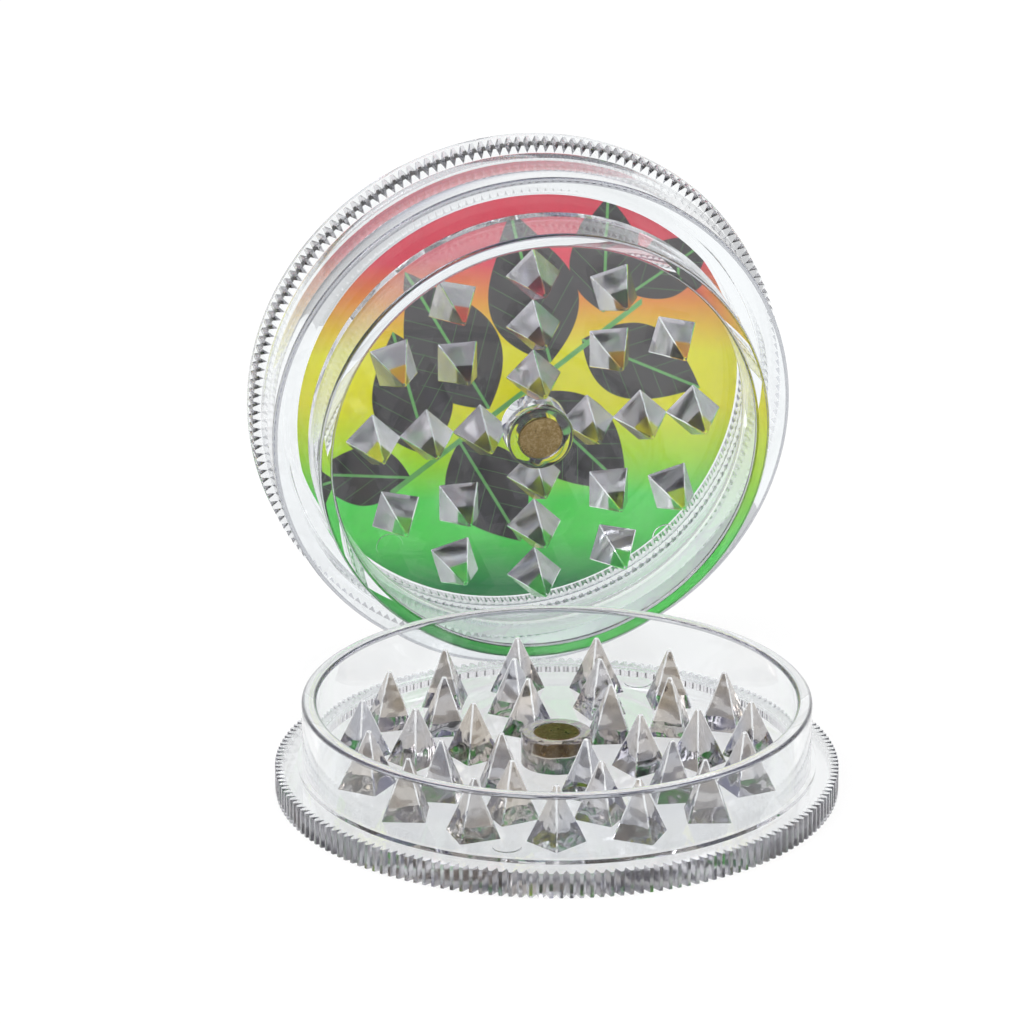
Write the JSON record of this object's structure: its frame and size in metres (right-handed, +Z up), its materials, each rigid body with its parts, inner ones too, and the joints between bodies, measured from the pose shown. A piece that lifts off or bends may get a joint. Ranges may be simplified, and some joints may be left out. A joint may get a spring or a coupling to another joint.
{
  "type": "hand grinder",
  "caption": "Clear plastic hand-turned herb grinder, opened: a toothed dish lying flat, and a toothed lid with a knurled stash cap standing on its edge behind it.",
  "frame": {"origin": "centre of the base dish's flat underside, on the surface it lies on", "axes": "+Z up, along the base dish's axis; the lid stands behind it towards +Y, and the view is along +Y"},
  "size_m": [0.0644, 0.0801, 0.0602],
  "materials": {
    "clear_plastic": "clear, polished moulding",
    "magnet_metal": "dull plated, faintly brown and gold",
    "printed_card": "glossy print that runs from red through yellow to green"
  },
  "bodies": {
    "base": {"base_dish": "clear_plastic", "base_magnet": "magnet_metal"},
    "lid": {"lid_drum": "clear_plastic", "lid_magnet": "magnet_metal"},
    "cap": {"stash_cap": "clear_plastic", "picture_disc": "printed_card"}
  },
  "joints": [
    {"name": "lid_turn", "type": "hinge", "parent": "base", "child": "lid", "pos_m": [-0.0043, 0.03949, 0.02989], "axis": [0.2182, -0.9721, -0.0863], "continuous": true},
    {"name": "cap_pull", "type": "slide", "parent": "lid", "child": "cap", "axis": [-0.2182, 0.9721, 0.0863], "range_m": [0, 0.015]}
  ]
}
